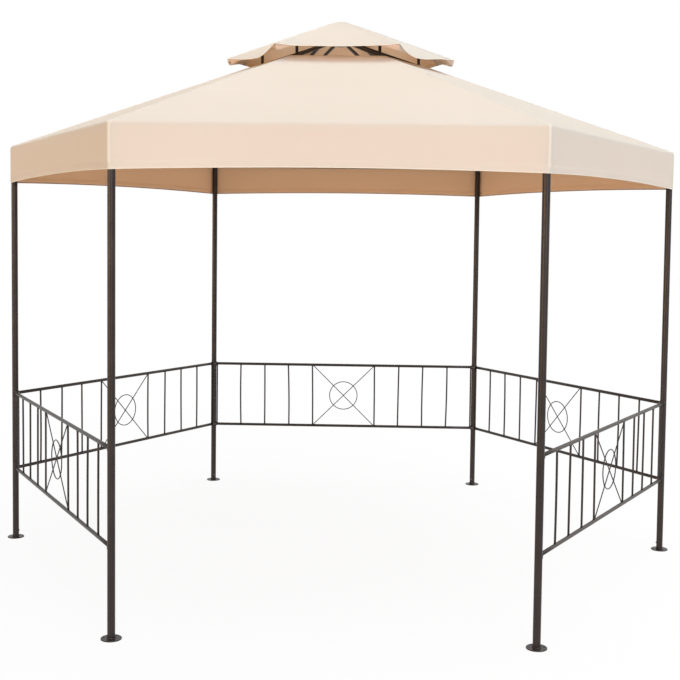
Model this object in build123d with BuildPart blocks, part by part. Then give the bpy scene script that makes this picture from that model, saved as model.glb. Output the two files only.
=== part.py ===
from build123d import *
from math import atan, cos, degrees, hypot, radians, sin, tan
import os

os.makedirs("parts", exist_ok=True)

# Six-sided garden gazebo with a two-tier fabric roof, in millimetres, +Z up.
# The origin is on the ground, under the middle of the roof. The open front faces -Y.

# Plan
post_circle_radius = 1595
post_diameter = 30
post_wall = 1.2
fit_clearance = 0.3

# Feet
foot_diameter = 80
foot_sides = 32
foot_thickness = 4
foot_edge_chamfer = 1.2
spigot_length = 60
anchor_hole_diameter = 8
anchor_circle_radius = 29
anchor_hole_count = 3

# Railings
rail_diameter = 16
rail_sides = 12
top_rail_height = 723
bottom_rail_height = 349
bar_diameter = 9
bar_sides = 8
end_bar_offset = 20.5
bays_each_side = 4
bay_width = 146.875
scroll_rod_diameter = 5
scroll_rod_sides = 6
scroll_ring_diameter = 174
scroll_ring_sides = 36

# Roof frame
eave_height = 1938
ridge_pitch = 18.5
rafter_diameter = 16
eave_beam_diameter = 16
roof_tube_sides = 16
crown_diameter = 60
crown_height = 44

# Raised roof cap and its frame
cap_corner_radius = 550
cap_gap = 67
cap_pitch = 19
cap_hem_sag = 30
cap_rafter_diameter = 16
cap_rafter_end_gap = 12
riser_diameter = 14
riser_circle_radius = 378
cap_hub_diameter = 50
cap_hub_height = 36

# Fabric
fabric_thickness = 2
valance_depth = 176
valance_arch = 12
vent_corner_radius = 427
seam_clearance = 0.3

post_radius = post_diameter / 2
rafter_radius = rafter_diameter / 2
eave_beam_radius = eave_beam_diameter / 2
side_angle = 60
half_side = side_angle / 2
flat_ratio = cos(radians(half_side))
post_flat_radius = post_circle_radius * flat_ratio

# The valance hangs just outside the posts, and its outer faces meet at the canopy corners.
valance_inner = post_flat_radius + post_radius + fit_clearance
valance_outer = valance_inner + fabric_thickness
canopy_corner_radius = valance_outer / flat_ratio
ridge_slope = tan(radians(ridge_pitch))
roof_slope = ridge_slope / flat_ratio
roof_pitch = degrees(atan(roof_slope))

# The eave beam fills the fold of the fabric, so both are set from one axis.
fold_inner = eave_beam_radius + fit_clearance
fold_outer = fold_inner + fabric_thickness
beam_flat_radius = valance_outer - fold_outer
beam_height = eave_height - fold_outer * tan(radians((90 - roof_pitch) / 2))

vent_flat_radius = vent_corner_radius * flat_ratio
vent_edge_height = eave_height + roof_slope * (valance_outer - vent_flat_radius)

# The cap's corners stand a set gap above the ridges of the main roof.
cap_ridge_slope = tan(radians(cap_pitch))
cap_slope = cap_ridge_slope / flat_ratio
cap_flat_radius = cap_corner_radius * flat_ratio
cap_hem_height = eave_height + ridge_slope * (canopy_corner_radius - cap_corner_radius) + cap_gap
cap_peak_height = cap_hem_height + cap_slope * cap_flat_radius

corner_azimuths = {
    "right": 0,
    "back_right": 60,
    "back_left": 120,
    "left": 180,
    "front_left": 240,
    "front_right": 300,
}
side_azimuths = {
    "right_back": 30,
    "back": 90,
    "left_back": 150,
    "left_front": 210,
    "front": 270,
    "right_front": 330,
}


def outward(azimuth):
    return Vector(cos(radians(azimuth)), sin(radians(azimuth)), 0)


def along(azimuth):
    return Vector(-sin(radians(azimuth)), cos(radians(azimuth)), 0)


def on_plan(azimuth, radius, height=0):
    return outward(azimuth) * radius + Vector(0, 0, height)


def radial_plane(azimuth):
    """Upright plane through the middle: X runs outward, Y runs up."""
    return Plane(origin=(0, 0, 0), x_dir=outward(azimuth), z_dir=along(azimuth) * -1)


def finish(piece, name):
    piece.part.label = name
    export_step(piece.part, f"parts/{name}.step")


def ridge_drop(pitch, slope, depth):
    """Height from a roof ridge down to an axis that lies depth below both roof faces."""
    face = atan(slope)
    ridge = radians(pitch)
    normal_share = sin(face) * flat_ratio * sin(ridge) + cos(face) * cos(ridge)
    return depth / normal_share / cos(ridge)


def make_foot(name, azimuth):
    with BuildPart() as foot:
        with BuildSketch(Plane(origin=on_plan(azimuth, post_circle_radius), x_dir=outward(azimuth))):
            RegularPolygon(foot_diameter / 2, foot_sides)
            with PolarLocations(anchor_circle_radius, anchor_hole_count, start_angle=side_angle):
                Circle(anchor_hole_diameter / 2, mode=Mode.SUBTRACT)
        extrude(amount=foot_thickness)
        chamfer(
            foot.faces().sort_by(Axis.Z)[-1].outer_wire().edges(),
            length=foot_edge_chamfer,
        )
        with BuildSketch(Plane(origin=on_plan(azimuth, post_circle_radius, foot_thickness))):
            Circle(post_radius - post_wall - fit_clearance)
        extrude(amount=spigot_length)
    finish(foot, name)


def make_post(name, azimuth):
    top_height = beam_height + ridge_slope * post_radius
    base_height = foot_thickness + fit_clearance
    with BuildPart() as post:
        with BuildSketch(Plane(origin=on_plan(azimuth, post_circle_radius, base_height))):
            Circle(post_radius)
            Circle(post_radius - post_wall, mode=Mode.SUBTRACT)
        extrude(amount=top_height + post_diameter - base_height)
        # The top is closed by a welded cap and cut to the pitch of the roof.
        with BuildSketch(Plane(origin=on_plan(azimuth, post_circle_radius, top_height - post_diameter))):
            Circle(post_radius)
        extrude(amount=2 * post_diameter)
        with BuildSketch(radial_plane(azimuth)):
            with BuildLine():
                Polyline(
                    (post_circle_radius - post_diameter, top_height + ridge_slope * post_diameter),
                    (post_circle_radius + post_diameter, top_height - ridge_slope * post_diameter),
                    (post_circle_radius + post_diameter, top_height + 3 * post_diameter),
                    (post_circle_radius - post_diameter, top_height + 3 * post_diameter),
                    close=True,
                )
            make_face()
        extrude(amount=post_diameter, both=True, mode=Mode.SUBTRACT)
    finish(post, name)


def cut_posts(azimuth, radius):
    """Cuts the two posts beside a wall side, with their clearance, out of the part in hand."""
    with BuildSketch(Plane.XY) as posts:
        with Locations(
            on_plan(azimuth - half_side, post_circle_radius),
            on_plan(azimuth + half_side, post_circle_radius),
        ):
            Circle(radius)
    extrude(posts.sketch, amount=eave_height + post_circle_radius, mode=Mode.SUBTRACT)


def make_railing(name, azimuth):
    middle = on_plan(azimuth, post_flat_radius)
    rail_rise = top_rail_height - bottom_rail_height
    half_length = post_circle_radius / 2
    end_bar = half_length - end_bar_offset
    right_bars = [end_bar - bay_width * bay for bay in range(bays_each_side + 1)]
    scroll_half_width = right_bars[-1]
    left_bars = [-offset for offset in right_bars]
    centre = middle + Vector(0, 0, (top_rail_height + bottom_rail_height) / 2)
    with BuildPart() as railing:
        with BuildSketch(Plane(origin=middle, x_dir=outward(azimuth) * -1, z_dir=along(azimuth))):
            with Locations((0, bottom_rail_height), (0, top_rail_height)):
                RegularPolygon(rail_diameter / 2, rail_sides)
        extrude(amount=half_length, both=True)
        cut_posts(azimuth, post_radius + fit_clearance)
        with BuildSketch(
            Plane(
                origin=middle + Vector(0, 0, bottom_rail_height),
                x_dir=along(azimuth),
                z_dir=(0, 0, 1),
            )
        ):
            with Locations(*[(offset, 0) for offset in right_bars + left_bars]):
                RegularPolygon(bar_diameter / 2, bar_sides, major_radius=False)
        extrude(amount=rail_rise)
        # Two crossed rods and a ring fill the middle bay.
        for lean in (-1, 1):
            reach = along(azimuth) * (2 * lean * scroll_half_width) + Vector(0, 0, rail_rise)
            with BuildSketch(Plane(origin=centre - reach / 2, z_dir=reach)):
                RegularPolygon(scroll_rod_diameter / 2, scroll_rod_sides, major_radius=False)
            extrude(amount=reach.length)
        with BuildSketch(Plane(origin=centre, x_dir=along(azimuth), z_dir=outward(azimuth))):
            RegularPolygon(scroll_ring_diameter / 2, scroll_ring_sides)
            RegularPolygon(
                scroll_ring_diameter / 2 - scroll_rod_diameter, scroll_ring_sides, mode=Mode.SUBTRACT
            )
        extrude(amount=scroll_rod_diameter / 2, both=True)
    finish(railing, name)


def make_eave_beam(name, azimuth):
    with BuildPart() as beam:
        with BuildSketch(Plane(origin=(0, 0, 0), x_dir=outward(azimuth) * -1, z_dir=along(azimuth))):
            with Locations((-beam_flat_radius, beam_height)):
                RegularPolygon(eave_beam_radius, roof_tube_sides)
        extrude(amount=post_circle_radius / 2, both=True)
        cut_posts(azimuth, post_radius + fit_clearance)
    finish(beam, name)


rafter_axis_drop = ridge_drop(ridge_pitch, roof_slope, fabric_thickness + fit_clearance + rafter_radius)
rafter_axis_peak = eave_height + ridge_slope * canopy_corner_radius - rafter_axis_drop


def make_rafter(name, azimuth):
    foot_height = rafter_axis_peak - ridge_slope * post_circle_radius
    direction = outward(azimuth) * -post_circle_radius + Vector(0, 0, rafter_axis_peak - foot_height)
    with BuildPart() as rafter:
        with BuildSketch(
            Plane(origin=on_plan(azimuth, post_circle_radius, foot_height), z_dir=direction)
        ):
            RegularPolygon(rafter_radius, roof_tube_sides)
        extrude(amount=direction.length)
        with BuildSketch(Plane(origin=on_plan(azimuth, post_circle_radius))):
            Circle(post_radius + fit_clearance)
        extrude(amount=eave_height + post_circle_radius, mode=Mode.SUBTRACT)
        with BuildSketch(Plane.XY):
            Circle(crown_diameter / 2 + fit_clearance)
        extrude(amount=eave_height + post_circle_radius, mode=Mode.SUBTRACT)
    finish(rafter, name)


def make_crown():
    with BuildPart() as crown:
        with BuildSketch(Plane.XY.offset(rafter_axis_peak - ridge_slope * crown_diameter / 2)):
            Circle(crown_diameter / 2)
        extrude(amount=crown_height / 2, both=True)
    finish(crown, "crown_hub")


cap_axis_drop = ridge_drop(
    cap_pitch, cap_slope, fabric_thickness + fit_clearance + cap_rafter_diameter / 2
)
cap_axis_peak = cap_peak_height - cap_axis_drop


def make_cap_rafter(name, azimuth):
    outer_radius = cap_corner_radius - cap_rafter_end_gap
    outer_height = cap_axis_peak - cap_ridge_slope * outer_radius
    direction = outward(azimuth) * -outer_radius + Vector(0, 0, cap_axis_peak - outer_height)
    rafter_top = rafter_axis_peak - ridge_slope * riser_circle_radius
    riser_top = cap_axis_peak - cap_ridge_slope * riser_circle_radius
    with BuildPart() as cap_rafter:
        with BuildSketch(Plane(origin=on_plan(azimuth, riser_circle_radius, rafter_top))):
            RegularPolygon(riser_diameter / 2, roof_tube_sides)
        extrude(amount=riser_top - rafter_top)
        # The riser's foot is notched over the long rafter.
        with BuildSketch(
            Plane(
                origin=on_plan(azimuth, riser_circle_radius, rafter_top),
                z_dir=outward(azimuth) * -1 + Vector(0, 0, ridge_slope),
            )
        ):
            Circle(rafter_radius + fit_clearance)
        extrude(amount=riser_diameter, both=True, mode=Mode.SUBTRACT)
        with BuildSketch(Plane(origin=on_plan(azimuth, outer_radius, outer_height), z_dir=direction)):
            RegularPolygon(cap_rafter_diameter / 2, roof_tube_sides)
        extrude(amount=direction.length)
        with BuildSketch(Plane.XY):
            Circle(cap_hub_diameter / 2 + fit_clearance)
        extrude(amount=2 * cap_peak_height, mode=Mode.SUBTRACT)
    finish(cap_rafter, name)


def make_cap_hub():
    top_height = cap_peak_height - fabric_thickness / cos(atan(cap_slope)) - fit_clearance
    top_height -= cap_slope * cap_hub_diameter / 2
    with BuildPart() as cap_hub:
        with BuildSketch(Plane.XY.offset(top_height)):
            Circle(cap_hub_diameter / 2)
        extrude(amount=-cap_hub_height)
    finish(cap_hub, "cap_hub")


def cut_hem(azimuth, flat_radius, corner_radius, height, rise, depth):
    """Arches a hem: cuts away what hangs lower than an arc between two corners."""
    with BuildSketch(
        Plane(
            origin=on_plan(azimuth, flat_radius - depth / 2, height),
            x_dir=along(azimuth),
            z_dir=outward(azimuth),
        )
    ) as arch:
        with BuildLine():
            ThreePointArc((-corner_radius / 2, 0), (0, rise), (corner_radius / 2, 0))
            Line((corner_radius / 2, 0), (-corner_radius / 2, 0))
        make_face()
    extrude(arch.sketch, amount=depth, mode=Mode.SUBTRACT)


def keep_sixth(azimuth, corner_radius, clearance):
    """Keeps the sixth of the part in hand that lies between two ridges."""
    point = outward(azimuth) * (clearance / sin(radians(half_side)))
    reach = 2 * corner_radius
    half_width = reach * tan(radians(half_side))
    with BuildSketch(Plane(origin=point, x_dir=outward(azimuth))) as sixth:
        Polygon((0, 0), (reach, -half_width), (reach, half_width), align=None)
    extrude(sixth.sketch, amount=2 * cap_peak_height, mode=Mode.INTERSECT)


def make_canopy_side(name, azimuth):
    """One roof panel with its valance: a folded strip, mitred along the two ridges."""
    hem_height = eave_height - valance_depth
    with BuildPart() as side:
        with BuildSketch(radial_plane(azimuth)):
            with BuildLine():
                outer = FilletPolyline(
                    (vent_flat_radius, vent_edge_height),
                    (valance_outer, eave_height),
                    (valance_outer, hem_height),
                    radius=fold_outer,
                )
                offset(outer, amount=-fabric_thickness, side=Side.RIGHT)
            make_face()
        extrude(amount=canopy_corner_radius, both=True)
        cut_hem(azimuth, valance_inner, canopy_corner_radius, hem_height, valance_arch, 2 * fold_outer)
        keep_sixth(azimuth, canopy_corner_radius, seam_clearance / 2)
    finish(side, name)


def make_cap_canopy():
    """Six panels meeting at the tip, with a hem that hangs lower between its corners."""
    front = side_azimuths["front"]
    inner_drop = fabric_thickness / cos(atan(cap_slope))
    cap_inner = cap_flat_radius - fabric_thickness
    hem_height = cap_hem_height - cap_hem_sag
    with BuildPart() as panel:
        with BuildSketch(radial_plane(front)):
            with BuildLine():
                Polyline(
                    (0, cap_peak_height),
                    (cap_flat_radius, cap_hem_height),
                    (cap_flat_radius, hem_height),
                    (cap_inner, hem_height),
                    (cap_inner, cap_hem_height - inner_drop + cap_slope * fabric_thickness),
                    (0, cap_peak_height - inner_drop),
                    close=True,
                )
            make_face()
        extrude(amount=cap_corner_radius, both=True)
        with BuildSketch(
            Plane(
                origin=on_plan(front, cap_inner - fabric_thickness, hem_height),
                x_dir=along(front),
                z_dir=outward(front),
            )
        ):
            # What is left of the flap under each corner arc is cut away.
            Rectangle(2 * cap_corner_radius, 2 * cap_hem_sag)
            with BuildLine():
                ThreePointArc(
                    (-cap_corner_radius / 2, cap_hem_sag), (0, 0), (cap_corner_radius / 2, cap_hem_sag)
                )
                Line((cap_corner_radius / 2, cap_hem_sag), (-cap_corner_radius / 2, cap_hem_sag))
            make_face(mode=Mode.SUBTRACT)
        extrude(amount=3 * fabric_thickness, mode=Mode.SUBTRACT)
        keep_sixth(front, cap_corner_radius, 0)
    with BuildPart() as cap:
        with PolarLocations(0, len(side_azimuths)):
            add(panel.part)
    finish(cap, "cap_canopy")


for corner, azimuth in corner_azimuths.items():
    make_foot(f"foot_{corner}", azimuth)
    make_post(f"post_{corner}", azimuth)
    make_rafter(f"rafter_{corner}", azimuth)
    make_cap_rafter(f"cap_rafter_{corner}", azimuth)

for side_name, azimuth in side_azimuths.items():
    make_eave_beam(f"eave_beam_{side_name}", azimuth)
    make_canopy_side(f"canopy_{side_name}", azimuth)
    if side_name != "front":
        make_railing(f"railing_{side_name}", azimuth)

make_crown()
make_cap_hub()
make_cap_canopy()
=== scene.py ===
import random
from math import atan, cos, hypot, pi, radians, sin, sqrt, tan

import bpy
from mathutils import Matrix, Vector, noise


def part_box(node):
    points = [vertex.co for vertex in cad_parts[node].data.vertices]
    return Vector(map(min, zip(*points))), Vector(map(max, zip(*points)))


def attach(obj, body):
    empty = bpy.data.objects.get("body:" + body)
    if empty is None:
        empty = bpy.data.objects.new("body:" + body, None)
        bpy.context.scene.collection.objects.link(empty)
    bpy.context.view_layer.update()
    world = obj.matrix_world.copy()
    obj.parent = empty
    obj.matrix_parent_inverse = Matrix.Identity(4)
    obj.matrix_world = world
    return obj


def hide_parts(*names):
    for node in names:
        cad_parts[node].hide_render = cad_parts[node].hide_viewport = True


# The finished look of a six-sided garden gazebo: cloth, railings, welds and screws around its frame.
# Everything is in metres, +Z up, with the open front towards -Y.

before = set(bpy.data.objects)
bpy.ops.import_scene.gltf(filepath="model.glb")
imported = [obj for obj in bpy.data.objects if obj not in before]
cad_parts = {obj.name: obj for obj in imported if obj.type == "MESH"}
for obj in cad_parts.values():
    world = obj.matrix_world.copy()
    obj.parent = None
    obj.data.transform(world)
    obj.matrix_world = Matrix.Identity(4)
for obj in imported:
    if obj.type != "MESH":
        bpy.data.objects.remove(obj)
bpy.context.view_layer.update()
random.seed(7)

BODY = "root"
HALF_SIDE = radians(30)
FLAT_RATIO = cos(HALF_SIDE)
SIDES = {
    "right_back": 30,
    "back": 90,
    "left_back": 150,
    "left_front": 210,
    "front": 270,
    "right_front": 330,
}
CORNERS = {
    "right": 0,
    "back_right": 60,
    "back_left": 120,
    "left": 180,
    "front_left": 240,
    "front_right": 300,
}
OPEN_SIDE = "front"

# Sizes that the frame gives
post_low, post_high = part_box("post_right")
post_radius = (post_high.y - post_low.y) / 2
post_circle = post_low.x + post_radius
post_base = post_low.z

panel_low, panel_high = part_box("canopy_back")
valance_flat = panel_high.y
vent_flat = panel_low.y
vent_height = panel_high.z
hem_height = panel_low.z

cap_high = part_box("cap_canopy")[1]
cap_corner = cap_high.x
cap_peak = cap_high.z
cap_flat = cap_corner * FLAT_RATIO

railing_low, railing_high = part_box("railing_back")
rail_radius = (railing_high.y - railing_low.y) / 2
rail_flat = (railing_high.y + railing_low.y) / 2
top_rail = railing_high.z - rail_radius
bottom_rail = railing_low.z + rail_radius

# Cloth
ridge_pitch = radians(18.5)
roof_slope = tan(ridge_pitch) / FLAT_RATIO
roof_pitch = atan(roof_slope)
eave_height = vent_height - roof_slope * (valance_flat - vent_flat)
eave_fold_radius = 0.016
corner_fold_radius = 0.016
ridge_fold_radius = 0.02
cloth_thickness = 0.001
hem_width = 0.024
vent_hem_width = 0.8 * hem_width
cap_hem_width = 0.7 * hem_width
hem_rise = 0.0006
edge_band_width = 0.006
seam_step = 0.0012
stitch_lift = 0.0007
valance_arch = 0.012
roof_sag = 0.009
vent_sag = 0.001
cap_slope = tan(radians(19)) / FLAT_RATIO
cap_tip_radius = 0.028
cap_tip_share = 0.3
cap_lift = 0.008
cap_corner_fold = 0.005
roof_ripple = 0.0015
valance_ripple = 0.004
cap_ripple = 0.003

# Railings
bar_radius = 0.0045
rod_radius = 0.0025
ring_radius = 0.0845
bay_width = 0.146875
bays_each_side = 4
end_bar_offset = 0.0205
rail_half = post_circle / 2
fit_gap = 0.0003
saddle_thickness = 0.0022
rail_weld = 0.0015
bar_weld = 0.0013
most_lean = 0.003
most_bow = 0.0025


def outward(azimuth):
    return Vector((cos(radians(azimuth)), sin(radians(azimuth)), 0))


def along(azimuth):
    return Vector((-sin(radians(azimuth)), cos(radians(azimuth)), 0))


UP = Vector((0, 0, 1))


# Mesh making


class Shape:
    """Points and faces of one piece, gathered part by part."""

    def __init__(self):
        self.points = []
        self.faces = []
        self.slots = []

    def add(self, points, faces, slot=0):
        start = len(self.points)
        self.points.extend(points)
        self.faces.extend([tuple(start + i for i in face) for face in faces])
        self.slots.extend([slot] * len(faces))

    def piece(self, name, materials, smooth=True):
        mesh = bpy.data.meshes.new(name)
        mesh.from_pydata([tuple(p) for p in self.points], [], self.faces)
        mesh.polygons.foreach_set("use_smooth", [smooth] * len(mesh.polygons))
        mesh.polygons.foreach_set("material_index", self.slots)
        for material in materials:
            mesh.materials.append(material)
        mesh.update()
        made = bpy.data.objects.new(name, mesh)
        bpy.context.scene.collection.objects.link(made)
        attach(made, BODY)
        return made


def side_axes(direction):
    """Two unit vectors square to a direction and to each other."""
    helper = UP if abs(direction.z) < 0.9 else Vector((1, 0, 0))
    first = direction.cross(helper).normalized()
    return first, direction.cross(first).normalized()


def add_skin(shape, sections, slot=0):
    """A skin over closed sections with the same number of points, with its ends filled."""
    wide = len(sections[0])
    last = (len(sections) - 1) * wide
    points = [point for section in sections for point in section]
    faces = []
    for i in range(len(sections) - 1):
        for k in range(wide):
            right = (k + 1) % wide
            faces.append((i * wide + k, i * wide + right, (i + 1) * wide + right, (i + 1) * wide + k))
    faces.append(tuple(reversed(range(wide))))
    faces.append(tuple(last + k for k in range(wide)))
    shape.add(points, faces, slot)


def add_tube(shape, path, radius, sides, slot=0):
    """A round rod along a path of points, closed by slightly domed ends."""
    rings = []
    count = len(path)
    for i, point in enumerate(path):
        ahead = path[min(i + 1, count - 1)] - path[max(i - 1, 0)]
        rings.append((point, ahead.normalized(), radius))
    first_point, first_way, _ = rings[0]
    last_point, last_way, _ = rings[-1]
    dome_height = 0.3 * radius
    dome_radius = 0.7 * radius
    rings.insert(0, (first_point - first_way * dome_height, first_way, dome_radius))
    rings.append((last_point + last_way * dome_height, last_way, dome_radius))
    sections = []
    x_axis, _ = side_axes(first_way)
    for point, way, size in rings:
        x_axis = (x_axis - way * x_axis.dot(way)).normalized()
        y_axis = way.cross(x_axis)
        turns = [2 * pi * k / sides for k in range(sides)]
        sections.append([point + (x_axis * cos(turn) + y_axis * sin(turn)) * size for turn in turns])
    add_skin(shape, sections, slot)


def add_turned(shape, origin, axis, profile, sides, slot=0):
    """A turned form: profile is (radius, height) pairs from bottom to top, closed at both ends."""
    x_axis, y_axis = side_axes(axis)
    turns = [2 * pi * k / sides for k in range(sides)]
    sections = []
    for radius, height in profile:
        centre = origin + axis * height
        sections.append([centre + (x_axis * cos(turn) - y_axis * sin(turn)) * radius for turn in turns])
    add_skin(shape, sections, slot)


def add_torus(shape, centre, axis, ring, radius, around, sides, slot=0):
    x_axis, y_axis = side_axes(axis)
    points = []
    for i in range(around):
        turn = 2 * pi * i / around
        out = x_axis * cos(turn) + y_axis * sin(turn)
        for k in range(sides):
            roll = 2 * pi * k / sides
            points.append(centre + out * (ring + radius * cos(roll)) + axis * (radius * sin(roll)))
    faces = []
    for i in range(around):
        after = (i + 1) % around
        for k in range(sides):
            right = (k + 1) % sides
            faces.append((i * sides + k, i * sides + right, after * sides + right, after * sides + k))
    shape.add(points, faces, slot)


# Materials


def new_material(name):
    """A material with only a Principled shader and its output."""
    material = bpy.data.materials.new(name)
    material.use_nodes = True
    return material, material.node_tree.nodes, material.node_tree.links


def mixed_colour(nodes, links, factor, first, second):
    mix = nodes.new("ShaderNodeMix")
    mix.data_type = "RGBA"
    mix.inputs["A"].default_value = (*first, 1)
    mix.inputs["B"].default_value = (*second, 1)
    links.new(factor, mix.inputs["Factor"])
    return mix.outputs["Result"]


def noise_texture(nodes, links, where, scale, detail, roughness=0.5):
    texture = nodes.new("ShaderNodeTexNoise")
    texture.inputs["Scale"].default_value = scale
    texture.inputs["Detail"].default_value = detail
    texture.inputs["Roughness"].default_value = roughness
    links.new(where, texture.inputs["Vector"])
    return texture.outputs["Fac"]


def ramp(nodes, links, value, low, high):
    """Spreads the values from low to high over 0 to 1."""
    spread = nodes.new("ShaderNodeMapRange")
    spread.inputs["From Min"].default_value = low
    spread.inputs["From Max"].default_value = high
    links.new(value, spread.inputs["Value"])
    return spread.outputs["Result"]


def bump(nodes, links, height, distance, strength, onto=None):
    made = nodes.new("ShaderNodeBump")
    made.inputs["Distance"].default_value = distance
    made.inputs["Strength"].default_value = strength
    links.new(height, made.inputs["Height"])
    if onto is not None:
        links.new(onto, made.inputs["Normal"])
    return made.outputs["Normal"]


def painted_metal(name, dark, light, roughness):
    """Baked paint on steel tube: fine orange peel, faint mottling and uneven gloss."""
    material, nodes, links = new_material(name)
    shader = nodes["Principled BSDF"]
    where = nodes.new("ShaderNodeTexCoord").outputs["Object"]
    mottle = noise_texture(nodes, links, where, scale=9, detail=5, roughness=0.6)
    tone = ramp(nodes, links, mottle, low=0.35, high=0.7)
    colour = mixed_colour(nodes, links, tone, dark, light)
    links.new(colour, shader.inputs["Base Color"])
    gloss = noise_texture(nodes, links, where, scale=60, detail=3)
    spread = nodes.new("ShaderNodeMapRange")
    spread.inputs["To Min"].default_value = roughness - 0.06
    spread.inputs["To Max"].default_value = roughness + 0.08
    links.new(gloss, spread.inputs["Value"])
    links.new(spread.outputs["Result"], shader.inputs["Roughness"])
    peel = noise_texture(nodes, links, where, scale=900, detail=2)
    normal = bump(nodes, links, peel, distance=0.00006, strength=0.4)
    links.new(normal, shader.inputs["Normal"])
    shader.inputs["Specular IOR Level"].default_value = 0.32
    shader.inputs["Specular Tint"].default_value = (1, 0.94, 0.90, 1)
    return material


def woven_cloth(name, face, shade, share, roughness=0.75):
    """Coated woven polyester: a fine weave, soft uneven tone, and a share of the light that
    comes through it."""
    material, nodes, links = new_material(name)
    shader = nodes["Principled BSDF"]
    where = nodes.new("ShaderNodeTexCoord").outputs["Object"]
    patches = noise_texture(nodes, links, where, scale=1.7, detail=3)
    slubs = noise_texture(nodes, links, where, scale=260, detail=2)
    blend = nodes.new("ShaderNodeMix")
    blend.inputs["Factor"].default_value = 0.35
    links.new(ramp(nodes, links, patches, low=0.3, high=0.7), blend.inputs["A"])
    links.new(slubs, blend.inputs["B"])
    colour = mixed_colour(nodes, links, blend.outputs["Result"], face, shade)
    links.new(colour, shader.inputs["Base Color"])
    warp = nodes.new("ShaderNodeTexWave")
    warp.bands_direction = "DIAGONAL"
    warp.inputs["Scale"].default_value = 330
    warp.inputs["Distortion"].default_value = 0.6
    links.new(where, warp.inputs["Vector"])
    weft = nodes.new("ShaderNodeTexWave")
    weft.bands_direction = "Z"
    weft.inputs["Scale"].default_value = 420
    weft.inputs["Distortion"].default_value = 0.6
    links.new(where, weft.inputs["Vector"])
    threads = nodes.new("ShaderNodeMath")
    threads.operation = "ADD"
    links.new(warp.outputs["Fac"], threads.inputs[0])
    links.new(weft.outputs["Fac"], threads.inputs[1])
    rumple = noise_texture(nodes, links, where, scale=7, detail=3)
    soft = bump(nodes, links, rumple, distance=0.004, strength=0.35)
    normal = bump(nodes, links, threads.outputs[0], distance=0.00012, strength=0.5, onto=soft)
    links.new(normal, shader.inputs["Normal"])
    shader.inputs["Roughness"].default_value = roughness
    shader.inputs["Specular IOR Level"].default_value = 0.25
    shader.inputs["Sheen Weight"].default_value = 0.12
    shader.inputs["Sheen Roughness"].default_value = 0.5
    glow = nodes.new("ShaderNodeBsdfTranslucent")
    glow.inputs["Color"].default_value = (0.86, 0.64, 0.44, 1)
    links.new(normal, glow.inputs["Normal"])
    both = nodes.new("ShaderNodeMixShader")
    both.inputs["Fac"].default_value = share
    links.new(shader.outputs["BSDF"], both.inputs[1])
    links.new(glow.outputs["BSDF"], both.inputs[2])
    links.new(both.outputs["Shader"], nodes["Material Output"].inputs["Surface"])
    return material


frame_paint = painted_metal("frame_paint", (0.015, 0.011, 0.009), (0.026, 0.0195, 0.016), 0.33)
weld_paint = painted_metal("weld_paint", (0.012, 0.009, 0.008), (0.022, 0.017, 0.014), 0.5)
screw_steel = painted_metal("screw_steel", (0.10, 0.095, 0.09), (0.17, 0.16, 0.15), 0.3)
cloth_outside = woven_cloth("cloth_outside", (0.785, 0.755, 0.62), (0.765, 0.73, 0.59), 0.3)
# Inner face: a darker, warmer tan than the outside, painted shade for the inside of the canopy.
cloth_inner_shade = woven_cloth("cloth_inner_shade", (0.86, 0.60, 0.375), (0.82, 0.565, 0.35), 0.3, 0.6)
# Hem edges: a lighter tan, painted highlight where the folded edge catches the light.
cloth_highlight = woven_cloth("cloth_highlight", (0.87, 0.82, 0.66), (0.84, 0.79, 0.63), 0.15)
# Inner lip of the hems: dark brown, painted shade under the folded edge.
cloth_lip_shade = woven_cloth("cloth_lip_shade", (0.26, 0.15, 0.10), (0.22, 0.13, 0.085), 0.02)
cloth_seam = woven_cloth("cloth_seam", (0.83, 0.78, 0.63), (0.81, 0.755, 0.60), 0.2)
cloth_pocket = woven_cloth("cloth_pocket", (0.78, 0.60, 0.45), (0.74, 0.56, 0.41), 0.2)
thread = woven_cloth("thread", (0.78, 0.66, 0.55), (0.74, 0.62, 0.51), 0.02)

# The cloth's shape


def sheet_point(sheet, azimuth, across, turn, reach, lift):
    """A point on a sheet: across is from -1 to 1 along a side's straight part, turn is the angle
    round the corner after it, reach is the distance down the cloth, and lift is the height above
    its outer face."""
    flat, height, out_share, up_share = sheet["profile"](reach)
    fold = min(sheet["fold"](reach), 0.8 * flat)
    facing = outward(azimuth)
    if turn > 0:
        facing = outward(azimuth + turn)
        centre = outward(azimuth + 30) * ((flat - fold) / FLAT_RATIO)
        place = centre + facing * fold
    else:
        place = facing * flat + along(azimuth) * (across * (flat - fold) * tan(HALF_SIDE))
    lifted = facing * (out_share * lift) + UP * (height + up_share * lift)
    moved = sheet["drape"](azimuth, across, reach) if turn == 0 else Vector()
    return place + lifted + moved


def ridge_point(sheet, azimuth, offset, reach, lift):
    """A point at a distance from the ridge after a side, positive on the far side of it."""
    flat = sheet["profile"](reach)[0]
    fold = min(sheet["fold"](reach), 0.8 * flat)
    arc = fold * HALF_SIDE
    if abs(offset) <= arc:
        return sheet_point(sheet, azimuth, 1, 30 + 30 * offset / arc, reach, lift)
    across = 1 - (abs(offset) - arc) / ((flat - fold) * tan(HALF_SIDE))
    if offset < 0:
        return sheet_point(sheet, azimuth, across, 0, reach, lift)
    return sheet_point(sheet, azimuth + 60, -across, 0, reach, lift)


def across_stops(side_steps):
    """Stops from -1 to 1 along a side, closer together near its ends."""
    middle = [-1 + 2 * k / side_steps for k in range(side_steps + 1)]
    closer = [1 - step for step in (0.01, 0.02, 0.035)]
    return sorted(set(middle + closer + [-stop for stop in closer]))


def sheet_columns(side_steps, corner_steps):
    """Columns of (azimuth, across, turn) all the way round a sheet."""
    columns = []
    for azimuth in SIDES.values():
        columns += [(azimuth, across, 0) for across in across_stops(side_steps)]
        columns += [(azimuth, 1, 60 * k / corner_steps) for k in range(1, corner_steps)]
    return columns


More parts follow.
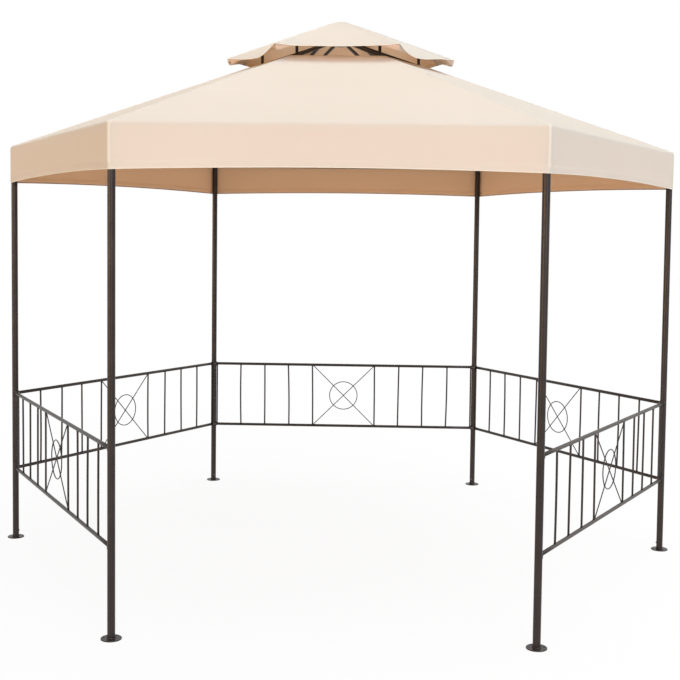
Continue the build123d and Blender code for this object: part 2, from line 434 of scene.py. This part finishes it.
def add_rows(shape, sheet, rows, columns, closed):
    """Skins rows of (reach, lift, slot) round all columns. Closed joins the last row to the first."""
    points = []
    for reach, lift, _ in rows:
        for azimuth, across, turn in columns:
            points.append(sheet_point(sheet, azimuth, across, turn, reach, lift))
    wide = len(columns)
    tall = len(rows)
    groups = {}
    for i in range(tall if closed else tall - 1):
        below = (i + 1) % tall
        for k in range(wide):
            right = (k + 1) % wide
            face = (i * wide + k, below * wide + k, below * wide + right, i * wide + right)
            groups.setdefault(rows[i][2], []).append(face)
    start = len(shape.points)
    shape.points.extend(points)
    for slot, faces in groups.items():
        shape.faces.extend([tuple(start + i for i in face) for face in faces])
        shape.slots.extend([slot] * len(faces))
    return start, wide, tall


def spaced(low, high, step):
    count = max(1, round((high - low) / step))
    return [low + (high - low) * k / count for k in range(count + 1)]


# Main canopy: the roof from the vent, the eave fold and the valance
turn_down = pi / 2 - roof_pitch
fold_tangent = eave_fold_radius * tan(turn_down / 2)
roof_length = hypot(valance_flat - vent_flat, vent_height - eave_height)
fold_start = roof_length - fold_tangent
fold_end = fold_start + eave_fold_radius * turn_down
valance_length = eave_height - fold_tangent - hem_height
canopy_length = fold_end + valance_length


def canopy_profile(reach):
    if reach <= fold_start:
        flat = vent_flat + reach * cos(roof_pitch)
        return flat, vent_height - reach * sin(roof_pitch), sin(roof_pitch), cos(roof_pitch)
    if reach >= fold_end:
        return valance_flat, eave_height - fold_tangent - (reach - fold_end), 1, 0
    lean = roof_pitch + (reach - fold_start) / eave_fold_radius
    flat = valance_flat - eave_fold_radius * (1 - sin(lean))
    return flat, eave_height - fold_tangent + eave_fold_radius * cos(lean), sin(lean), cos(lean)


def canopy_fold(reach):
    return corner_fold_radius if reach > fold_start else ridge_fold_radius


def canopy_drape(azimuth, across, reach):
    """How far the cloth hangs from its flat panels: roof sag, the hem's arch and slow waves."""
    free = 1 - across * across
    facing = outward(azimuth)
    wave = noise.noise(Vector((azimuth % 360 * 0.13, across * 1.7, reach * 2.2)))
    if reach <= fold_start:
        share = max(0.0, reach / fold_start)
        sag = roof_sag * sin(pi * share**0.8) + vent_sag * (1 - share) ** 2
        amount = -free * (sag + roof_ripple * wave * sin(pi * share))
        return facing * (sin(roof_pitch) * amount) + UP * (cos(roof_pitch) * amount)
    if reach >= fold_end:
        share = (reach - fold_end) / valance_length
        ripple = valance_ripple * wave * share * sqrt(free)
        return facing * ripple + UP * (valance_arch * free * share)
    return Vector()


canopy_sheet = {"profile": canopy_profile, "fold": canopy_fold, "drape": canopy_drape}

# Raised cap: six panels that hang lower between their corners
cap_length = hypot(cap_flat, cap_slope * cap_flat)
cap_pitch = atan(cap_slope)
# How far each hem hangs below and inside a straight edge, how far off the middle its lowest point
# is, and how square its curve is
CAP_DROOP = {
    30: {"below": 0.024, "inside": 0.030, "skew": -0.20, "power": 1.8},
    90: {"below": 0.014, "inside": 0.010, "skew": 0.10, "power": 2.6},
    150: {"below": 0.018, "inside": 0.016, "skew": -0.15, "power": 2.2},
    210: {"below": 0.017, "inside": 0.062, "skew": 0.20, "power": 1.6},
    270: {"below": 0.010, "inside": 0.007, "skew": 0.20, "power": 3.4},
    330: {"below": 0.037, "inside": 0.012, "skew": 0.38, "power": 1.6},
}


def cap_profile(reach):
    flat = reach * cos(cap_pitch)
    rounded = sqrt(flat * flat + cap_tip_radius**2) - cap_tip_share * cap_tip_radius
    height = cap_peak - cap_slope * rounded
    return flat, height + cap_lift, sin(cap_pitch), cos(cap_pitch)


def cap_fold(reach):
    return cap_corner_fold


def cap_drape(azimuth, across, reach):
    """How far the cloth hangs from its flat panels: each side's own droop and slow waves."""
    share = reach / cap_length
    droop = CAP_DROOP[azimuth % 360]
    free = 1 - abs(across + droop["skew"] * (1 - across * across)) ** droop["power"]
    amount = free * share * share
    wave = noise.noise(Vector((azimuth % 360 * 0.21, across * 2.1, reach * 5)))
    ripple = cap_ripple * wave * free * share
    return UP * (ripple - droop["below"] * amount) - outward(azimuth) * (droop["inside"] * amount)


cap_sheet = {"profile": cap_profile, "fold": cap_fold, "drape": cap_drape}

# Slots: the outer face, the inner face in painted shade, a lighter band of painted highlight along the
# edges, and a dark lip of painted shade inside the hems.
OUTSIDE, INNER_SHADE, HIGHLIT_BAND, SHADED_LIP = 0, 1, 2, 3
CLOTH = [cloth_outside, cloth_inner_shade, cloth_highlight, cloth_lip_shade]


def rise_at(reach, hems):
    """How much a hem's double cloth stands proud at a distance down the sheet."""
    for low, high in hems:
        if low <= reach <= high:
            return hem_rise
    return 0


def sheet_rows(reaches, hems, top_edge, bottom_edge, edge=SHADED_LIP):
    """Rows down the outside, round the lower edge and up the inside, and round the upper edge
    where top_edge gives one."""
    outside = []
    inside = []
    for reach in reaches:
        rise = rise_at(reach, hems)
        # The last strip of the outside is a painted highlight along the lower edge.
        in_highlight = reach > bottom_edge - edge_band_width
        outside.append((reach, rise, HIGHLIT_BAND if in_highlight else OUTSIDE))
        # The last narrow strip of the inside takes the slot given by edge, which is dark painted shade
        # on the canopy.
        lip = reach > bottom_edge - edge_band_width / 4
        inside.append((reach, -cloth_thickness - rise, edge if lip else INNER_SHADE))
    half = cloth_thickness / 2 + hem_rise
    middle = -cloth_thickness / 2
    bottom = []
    # Round the lower edge: painted highlight on the outer half, then the slot given by edge.
    for angle, slot in ((45, HIGHLIT_BAND), (90, edge), (135, edge)):
        swell = half * sin(radians(angle))
        bottom.append((bottom_edge + swell, middle + half * cos(radians(angle)), slot))
    rows = outside + bottom + list(reversed(inside))
    # Round the upper edge, where there is one, the cloth takes the painted highlight too.
    if top_edge is not None:
        for angle in (45, 90, 135):
            swell = half * sin(radians(angle))
            rows.append((top_edge - swell, middle - half * cos(radians(angle)), HIGHLIT_BAND))
    return rows


def make_canopy():
    slope_step = 0.045
    fold_step = 0.002
    valance_step = 0.012
    hem_top = canopy_length - hem_width
    reaches = (
        [0, vent_hem_width / 2, vent_hem_width, vent_hem_width + seam_step]
        + spaced(0.05, fold_start - 0.02, slope_step)
        + spaced(fold_start - 0.01, fold_start, 0.005)
        + spaced(fold_start, fold_end, fold_step)[1:]
        + spaced(fold_end, hem_top - 0.008, valance_step)[1:]
        + [hem_top - seam_step, hem_top, canopy_length - 2 * edge_band_width]
        + [canopy_length - edge_band_width, canopy_length - edge_band_width / 2, canopy_length]
    )
    hems = [(0, vent_hem_width), (hem_top, canopy_length)]
    rows = sheet_rows(reaches, hems, 0, canopy_length)
    columns = sheet_columns(side_steps=32, corner_steps=8)
    shape = Shape()
    add_rows(shape, canopy_sheet, rows, columns, True)
    return shape.piece("canopy_cloth", CLOTH)


def make_cap():
    tip_step = 0.008
    slope_step = 0.018
    hem_top = cap_length - cap_hem_width
    reaches = (
        [0.002, 0.006]
        + spaced(0.012, 0.06, tip_step)
        + spaced(0.06, hem_top - 0.008, slope_step)[1:]
        + [hem_top - seam_step, hem_top]
        + [cap_length - edge_band_width, cap_length - edge_band_width / 2, cap_length]
    )
    # The cap's lower edge takes the painted highlight all round, with no painted shade inside.
    rows = sheet_rows(reaches, [(hem_top, cap_length)], None, cap_length, HIGHLIT_BAND)
    columns = sheet_columns(side_steps=28, corner_steps=6)
    shape = Shape()
    start, wide, tall = add_rows(shape, cap_sheet, rows, columns, False)
    # The tip is closed by a fan outside and another inside.
    for row, flip, slot in ((0, False, OUTSIDE), (tall - 1, True, INNER_SHADE)):
        ring = [start + row * wide + k for k in range(wide)]
        tip = sum((Vector(shape.points[i]) for i in ring), Vector()) / wide
        shape.points.append(tip)
        centre = len(shape.points) - 1
        for k in range(wide):
            pair = (ring[k], ring[(k + 1) % wide])
            shape.faces.append((centre, pair[1], pair[0]) if flip else (centre, pair[0], pair[1]))
            shape.slots.append(slot)
    return shape.piece("cap_cloth", CLOTH)


def make_seam_bands(name, sheet, first, last, width):
    """The doubled strip of cloth along each ridge and, below it, each valance corner."""
    slope_step = 0.03
    fold_step = 0.0025
    valance_step = 0.02
    rise = hem_rise
    sunk = -hem_rise / 2
    half = width / 2
    section = [(-half - rise, sunk), (-half, rise), (-half / 2, rise), (0, rise), (half / 2, rise)]
    section += [(half, rise), (half + rise, sunk), (half / 2, sunk), (0, sunk), (-half / 2, sunk)]
    reaches = spaced(first, last, slope_step)
    if sheet is canopy_sheet:
        reaches = spaced(first, fold_start, slope_step) + spaced(fold_start, fold_end, fold_step)[1:]
        reaches += spaced(fold_end, last, valance_step)[1:]
    shape = Shape()
    for azimuth in SIDES.values():
        sections = []
        for reach in reaches:
            edge = [ridge_point(sheet, azimuth, offset, reach, lift) for offset, lift in section]
            sections.append(edge)
        add_skin(shape, sections)
    return shape.piece(name, [cloth_seam])


def add_stitch(shape, start, end, normal):
    """One stitch: a short raised loop of thread."""
    half_width = 0.00035
    height = 0.0004
    sideways = (end - start).cross(normal).normalized() * half_width
    first = start.lerp(end, 0.25) + normal * height
    second = start.lerp(end, 0.75) + normal * height
    points = [start - sideways, start + sideways, first - sideways, first + sideways]
    points += [second - sideways, second + sideways, end - sideways, end + sideways]
    faces = [(0, 1, 3, 2), (2, 3, 5, 4), (4, 5, 7, 6), (0, 2, 4, 6), (1, 7, 5, 3), (0, 6, 7, 1)]
    shape.add(points, faces)


def add_stitch_row(shape, place, length, normal_of):
    """Stitches along place(distance), from 0 to length."""
    pitch = 0.0052
    stitch = 0.0038
    count = int(length / pitch)
    for k in range(count):
        low = k * pitch
        start = place(low)
        end = place(low + stitch)
        add_stitch(shape, start, end, normal_of(low))


def make_stitching(name, sheet, ridge_offset, first, length, hem_rows):
    """Two rows of stitches down each ridge, from first and as long as length, and one along each
    hem of every side. A hem row is how far down the sheet it is and how far its side is from the
    middle."""
    shape = Shape()
    corner_gap = 0.012
    for azimuth in SIDES.values():
        for offset in (-ridge_offset, ridge_offset):

            def down_ridge(distance, azimuth=azimuth, offset=offset):
                return ridge_point(sheet, azimuth, offset, first + distance, stitch_lift)

            def ridge_normal(distance, azimuth=azimuth):
                out_share, up_share = sheet["profile"](distance)[2:]
                return outward(azimuth + 30) * out_share + UP * up_share

            add_stitch_row(shape, down_ridge, length, ridge_normal)
        for reach, flat in hem_rows:
            straight = flat * tan(HALF_SIDE) - corner_gap

            def along_hem(distance, azimuth=azimuth, reach=reach, straight=straight):
                return sheet_point(sheet, azimuth, distance / straight - 1, 0, reach, stitch_lift)

            out_share, up_share = sheet["profile"](reach)[2:]
            normal = outward(azimuth) * out_share + UP * up_share
            add_stitch_row(shape, along_hem, 2 * straight, lambda distance, normal=normal: normal)
    return shape.piece(name, [thread], smooth=False)


def make_cap_pockets():
    """The pockets sewn under the cap's corners, which pull taut over the ends of its rods."""
    shape = Shape()
    seam_length = 0.13
    pocket_length = 0.12
    depth = 0.0285
    rod_half = 0.012
    taut_width = 0.075
    seam_edge = 0.0003
    rod_push = 0.004
    push_width = 0.035
    seam_steepness = 4
    rod_steepness = 36
    steep_width = 0.05
    layer = 0.0008
    across_steps = 20
    end_wall = [seam_edge, 0.0006, 0.0009, 0.0013, 0.004, 0.008, 0.015]
    for azimuth in SIDES.values():
        sections = []
        for back in end_wall + spaced(0.022, pocket_length - 0.008, 0.012):
            half = seam_length * (1 - back / pocket_length)
            upper = []
            lower = []
            for k in range(across_steps + 1):
                share = 2 * k / across_steps - 1
                offset = share * abs(share) * half
                slack = max(0.0, abs(offset) - rod_half) / taut_width
                taut = depth * max(0.0, 1 - slack)
                near_rod = max(0.0, 1 - abs(offset) / steep_width)
                steepness = seam_steepness + rod_steepness * near_rod
                drop = cloth_thickness + layer + min(taut, steepness * (back - seam_edge))
                at_rod = max(0.0, 1 - abs(offset) / push_width)
                pushed = rod_push * at_rod if back > seam_edge else 0
                reach = cap_length - back + pushed
                lower.append(ridge_point(cap_sheet, azimuth, offset, reach, -drop - layer))
                upper.append(ridge_point(cap_sheet, azimuth, offset, reach, -drop))
            sections.append(lower + upper[::-1])
        add_skin(shape, sections)
    return shape.piece("cap_pockets", [cloth_pocket])


canopy = make_canopy()
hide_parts(*[f"canopy_{side}" for side in SIDES])
canopy_seams = make_seam_bands("canopy_seams", canopy_sheet, 0.002, canopy_length - 0.001, 0.018)
canopy_stitching = make_stitching(
    "canopy_stitching",
    canopy_sheet,
    ridge_offset=0.007,
    first=0.004,
    length=canopy_length - 0.03,
    hem_rows=[
        (canopy_length - hem_width + 0.003, valance_flat),
        (vent_hem_width - 0.003, vent_flat),
    ],
)

cap = make_cap()
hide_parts("cap_canopy")
cap_seams = make_seam_bands("cap_seams", cap_sheet, 0.02, cap_length - 0.002, 0.015)
cap_stitching = make_stitching(
    "cap_stitching",
    cap_sheet,
    ridge_offset=0.006,
    first=0.03,
    length=cap_length - 0.04,
    hem_rows=[(cap_length - cap_hem_width + 0.003, cap_flat)],
)
cap_pockets = make_cap_pockets()

# Railings


def add_weld(shape, centre, axis, ring, bead, around):
    """A bead of weld round a bar or a rail's end."""
    add_torus(shape, centre, axis, ring, bead, around, 6, 1)


def add_saddle(shape, post, facing, height):
    """The curved plate at a rail's end, which lies against the post."""
    inner = post_radius + fit_gap
    outer = inner + saddle_thickness
    chamfered = outer - 0.0006
    half_height = 0.012
    half_turn = radians(54)
    steps = 14
    section = [(inner, -1), (chamfered, -1), (outer, -0.93)]
    section += [(outer, 0.93), (chamfered, 1), (inner, 1)]
    sideways = UP.cross(facing)
    sections = []
    for k in range(steps + 1):
        turn = half_turn * (2 * k / steps - 1)
        out = facing * cos(turn) + sideways * sin(turn)
        rounded = sqrt(max(0.0, 1 - (abs(turn) / half_turn) ** 6))
        half = half_height * (0.35 * rounded + 0.65)
        edge = []
        for radius, share in reversed(section):
            edge.append(post + out * radius + UP * (height + half * share))
        sections.append(edge)
    add_skin(shape, sections)


def add_dome_screw(shape, place, way, size=0.0048, slot=2):
    profile = [(size, -0.001), (size, 0.0006), (0.94 * size, 0.0014), (0.7 * size, 0.0024)]
    profile += [(0.38 * size, 0.003), (0.34 * size, 0.0022), (0.3 * size, 0.0018)]
    add_turned(shape, place, way, profile, 14, slot)


def make_railing(side, azimuth):
    shape = Shape()
    screw_turn = radians(40)
    screw_sink = 0.0001
    knot_half = 0.0032
    knot_profile = [(0.0018, 0), (0.0034, 0.0012), (0.0038, knot_half)]
    knot_profile += [(0.0034, 0.0052), (0.0018, 0.0064)]
    middle = outward(azimuth) * rail_flat
    way = along(azimuth)
    facing = outward(azimuth)
    rail_end_gap = 0.0012
    rail_end = rail_half - post_radius - rail_end_gap
    saddle_face = post_radius + fit_gap + saddle_thickness
    for height in (bottom_rail, top_rail):
        centre = middle + UP * height
        stops = [-rail_end + 2 * rail_end * k / 12 for k in range(13)]
        add_tube(shape, [centre + way * stop for stop in stops], rail_radius, 24)
        for end in (-1, 1):
            post = outward(azimuth + 30 * end) * post_circle
            inward = way * -end
            add_saddle(shape, post, inward, height)
            weld_place = post + inward * (saddle_face + fit_gap) + UP * height
            add_weld(shape, weld_place, inward, rail_radius, rail_weld, 24)
            screw_way = (inward * cos(screw_turn) - facing * sin(screw_turn)).normalized()
            screw_place = post + screw_way * (saddle_face - screw_sink) + UP * height
            add_dome_screw(shape, screw_place, screw_way)
    end_bar = rail_half - end_bar_offset
    offsets = [end_bar - bay_width * bay for bay in range(bays_each_side + 1)]
    scroll_half = offsets[-1]
    rise = top_rail - bottom_rail
    bottom_face = bottom_rail + rail_radius
    top_face = top_rail - rail_radius
    weld_sink = 0.0004
    for offset in offsets + [-offset for offset in offsets]:
        lean = 0 if abs(offset) == end_bar else random.uniform(-1, 1) * most_lean
        bow = 0 if abs(offset) == end_bar else random.uniform(-1, 1) * most_bow
        foot = middle + way * (offset - lean)
        head = middle + way * (offset + lean)
        low = foot + UP * (bottom_rail + rail_radius / 2)
        high = head + UP * (top_rail - rail_radius / 2)
        path = [low.lerp(high, k / 8) + way * (bow * sin(pi * k / 8)) for k in range(9)]
        add_tube(shape, path, bar_radius, 12)
        add_weld(shape, foot + UP * (bottom_face - weld_sink), UP, bar_radius, bar_weld, 12)
        add_weld(shape, head + UP * (top_face + weld_sink), UP, bar_radius, bar_weld, 12)
    centre = middle + UP * (bottom_rail + rise / 2)
    rod_half = hypot(scroll_half, rise / 2)
    rod_shift = 0.0016
    for lean in (-1, 1):
        shift = facing * (rod_shift * lean)
        reach = way * (scroll_half * lean) + UP * (rise / 2)
        path = [centre + shift + reach * (k / 6 - 1) for k in range(13)]
        add_tube(shape, path, rod_radius, 10)
        knot = way * (lean * ring_radius * scroll_half / rod_half)
        knot += UP * (ring_radius * (rise / 2) / rod_half)
        for sign in (-1, 1):
            add_turned(shape, centre + knot * sign - facing * knot_half, facing, knot_profile, 10, 1)
    add_torus(shape, centre, facing, ring_radius, rod_radius, 72, 10)
    railing = shape.piece(f"railing_{side}_ironwork", [frame_paint, weld_paint, screw_steel])
    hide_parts(f"railing_{side}")


for side, azimuth in SIDES.items():
    if side != OPEN_SIDE:
        make_railing(side, azimuth)

# Posts and feet
foot_top = post_base - fit_gap


def make_foot_fittings(corner, azimuth):
    """The weld round a post's foot and the screw that holds the post on its spigot."""
    shape = Shape()
    centre = outward(azimuth) * post_circle
    buried = post_radius - 0.001
    bead_base = 0.0002
    bead_width = 0.0032
    bead_height = 0.0036
    bead = [(buried, bead_base), (post_radius + bead_width, bead_base), (post_radius + 0.0026, 0.0014)]
    bead += [(post_radius + 0.0012, 0.0027), (buried, bead_height)]
    add_turned(shape, centre + UP * foot_top, UP, bead, 36)
    inward = outward(azimuth + 180)
    screw_height = 0.034
    screw_place = centre + inward * (post_radius + 0.0002) + UP * screw_height
    add_dome_screw(shape, screw_place, inward, 0.0045, 1)
    shape.piece(f"foot_{corner}_fittings", [weld_paint, screw_steel])


for corner, azimuth in CORNERS.items():
    make_foot_fittings(corner, azimuth)

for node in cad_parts.values():
    if not node.hide_render:
        node.data.materials.clear()
        node.data.materials.append(frame_paint)

# Stage


def make_floor():
    half = 40
    gap_below_feet = 0.0002
    white_share = 0.92
    mesh = bpy.data.meshes.new("floor")
    corners = [(-half, -half, 0), (half, -half, 0), (half, half, 0), (-half, half, 0)]
    mesh.from_pydata(corners, [], [(0, 1, 2, 3)])
    floor = bpy.data.objects.new("floor", mesh)
    floor.location.z = -gap_below_feet
    bpy.context.scene.collection.objects.link(floor)
    material, nodes, links = new_material("floor_white")
    shader = nodes["Principled BSDF"]
    shader.inputs["Base Color"].default_value = (0.83, 0.775, 0.715, 1)
    shader.inputs["Roughness"].default_value = 0.9
    shader.inputs["Specular IOR Level"].default_value = 0
    white = nodes.new("ShaderNodeEmission")
    white.inputs["Color"].default_value = (1, 1, 1, 1)
    seen = nodes.new("ShaderNodeMixShader")
    seen.inputs["Fac"].default_value = white_share
    links.new(shader.outputs["BSDF"], seen.inputs[1])
    links.new(white.outputs["Emission"], seen.inputs[2])
    chosen = nodes.new("ShaderNodeMixShader")
    links.new(seen_directly(nodes, links), chosen.inputs["Fac"])
    links.new(shader.outputs["BSDF"], chosen.inputs[1])
    links.new(seen.outputs["Shader"], chosen.inputs[2])
    links.new(chosen.outputs["Shader"], nodes["Material Output"].inputs["Surface"])
    mesh.materials.append(material)


def seen_directly(nodes, links):
    """1 for rays from the camera, a gloss or clear glass, and 0 for light that spreads."""
    path = nodes.new("ShaderNodeLightPath")
    sharp = nodes.new("ShaderNodeMath")
    sharp.operation = "SUBTRACT"
    sharp.use_clamp = True
    links.new(path.outputs["Is Transmission Ray"], sharp.inputs[0])
    links.new(path.outputs["Is Diffuse Ray"], sharp.inputs[1])
    total = nodes.new("ShaderNodeMath")
    total.operation = "ADD"
    links.new(path.outputs["Is Camera Ray"], total.inputs[0])
    links.new(path.outputs["Is Glossy Ray"], total.inputs[1])
    both = nodes.new("ShaderNodeMath")
    both.operation = "ADD"
    both.use_clamp = True
    links.new(total.outputs[0], both.inputs[0])
    links.new(sharp.outputs[0], both.inputs[1])
    return both.outputs[0]


def make_world():
    world = bpy.data.worlds.new("studio")
    bpy.context.scene.world = world
    world.use_nodes = True
    nodes, links = world.node_tree.nodes, world.node_tree.links
    ambient = nodes["Background"]
    ambient.inputs["Color"].default_value = (0.98, 0.98, 1, 1)
    ambient.inputs["Strength"].default_value = 0.1
    white = nodes.new("ShaderNodeBackground")
    white.inputs["Color"].default_value = (1, 1, 1, 1)
    white.inputs["Strength"].default_value = 1
    chosen = nodes.new("ShaderNodeMixShader")
    links.new(seen_directly(nodes, links), chosen.inputs["Fac"])
    links.new(ambient.outputs["Background"], chosen.inputs[1])
    links.new(white.outputs["Background"], chosen.inputs[2])
    links.new(chosen.outputs["Shader"], nodes["World Output"].inputs["Surface"])


def make_sun(name, towards, strength, softness, colour):
    light = bpy.data.lights.new(name, "SUN")
    light.energy = strength
    light.angle = radians(softness)
    light.color = colour
    lamp = bpy.data.objects.new(name, light)
    lamp.rotation_euler = Vector(towards).to_track_quat("Z", "Y").to_euler()
    bpy.context.scene.collection.objects.link(lamp)


def make_camera():
    """The photograph's viewpoint: at a standing adult's eye height, nearly square to the open front."""
    place = Vector((0.1671, -5.5686, 1.5434))
    yaw, pitch, roll = 0.03037, -0.05593, -0.0114
    image_size = 680
    focal_pixels = 1139.61
    centre_x, centre_y = 337.26, 294.86
    data = bpy.data.cameras.new("camera")
    data.sensor_width = 36
    data.lens = focal_pixels / image_size * data.sensor_width
    data.shift_x = (image_size / 2 - centre_x) / image_size
    data.shift_y = (centre_y - image_size / 2) / image_size
    data.clip_end = 200
    camera = bpy.data.objects.new("camera", data)
    bpy.context.scene.collection.objects.link(camera)
    turn = Matrix.Rotation(yaw, 3, "Z") @ Matrix.Rotation(pitch, 3, "X") @ Matrix.Rotation(roll, 3, "Y")
    upright = Matrix.Rotation(pi / 2, 3, "X")
    camera.matrix_world = Matrix.Translation(place) @ (turn @ upright).to_4x4()
    bpy.context.scene.camera = camera


make_floor()
make_world()
make_sun("above", (0.25, 0, 1), strength=3.1, softness=60, colour=(0.785, 0.90, 1))
make_sun("key", (0.33, -0.80, 0.51), strength=1.93, softness=35, colour=(0.745, 0.71, 0.92))
make_sun("low_key", (0.38, -0.92, 0.10), strength=0.42, softness=8, colour=(0.87, 0.92, 1))
make_sun("warm_fill", (-0.50, -0.82, 0.26), strength=0.38, softness=32, colour=(1, 0.78, 0.58))
make_sun("low_fill", (-0.80, -0.60, 0.03), strength=1.2, softness=12, colour=(1, 0.54, 0.18))
make_sun("behind", (0.75, 0.5, 0.42), strength=0.30, softness=32, colour=(1, 0.78, 0.60))
make_camera()
bpy.context.scene.view_settings.view_transform = "Standard"
